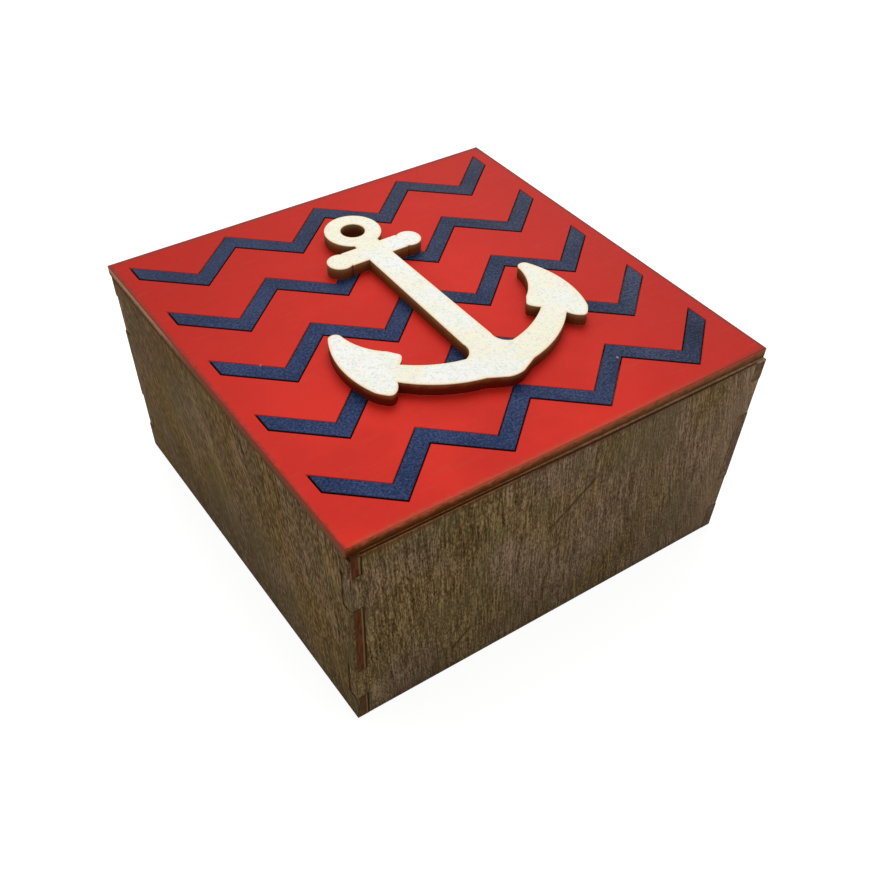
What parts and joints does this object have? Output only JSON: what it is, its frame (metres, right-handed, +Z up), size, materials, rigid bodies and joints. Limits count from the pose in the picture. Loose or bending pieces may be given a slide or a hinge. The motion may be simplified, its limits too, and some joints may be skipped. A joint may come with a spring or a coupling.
{
  "type": "wooden keepsake box",
  "caption": "Square finger-jointed plywood box with a lift-off lid that has zigzag inlays and a raised anchor.",
  "frame": {"origin": "middle of the underside of the box body, on the surface it stands on", "axes": "+X to the right along the front wall, +Y from the front wall to the back wall, +Z up; the anchor's ring points to the back"},
  "size_m": [0.12, 0.121, 0.0644],
  "materials": {
    "stained_plywood": "grey-brown stained plywood, matt, with darker laser-cut edges",
    "red_painted_plywood": "matt red paint on plywood, bare browned edges",
    "plain_plywood": "bare sanded plywood",
    "blue_painted_plywood": "matt navy blue paint on plywood",
    "white_painted_plywood": "matt off-white paint on plywood, dark browned cut edges"
  },
  "bodies": {
    "box": {"front_wall": "stained_plywood", "back_wall": "stained_plywood", "left_wall": "stained_plywood", "right_wall": "stained_plywood", "floor_panel": "stained_plywood"},
    "lid": {"lid_plate": "red_painted_plywood", "lid_locating_plate": "plain_plywood", "chevron_inlay_1": "blue_painted_plywood", "chevron_inlay_2": "blue_painted_plywood", "chevron_inlay_3": "blue_painted_plywood", "chevron_inlay_4": "blue_painted_plywood", "chevron_inlay_5": "blue_painted_plywood", "anchor_applique": "white_painted_plywood"}
  },
  "joints": [
    {"name": "lid_lift", "type": "slide", "parent": "box", "child": "lid", "axis": [0, 0, 1], "range_m": [0, 0.06]}
  ]
}
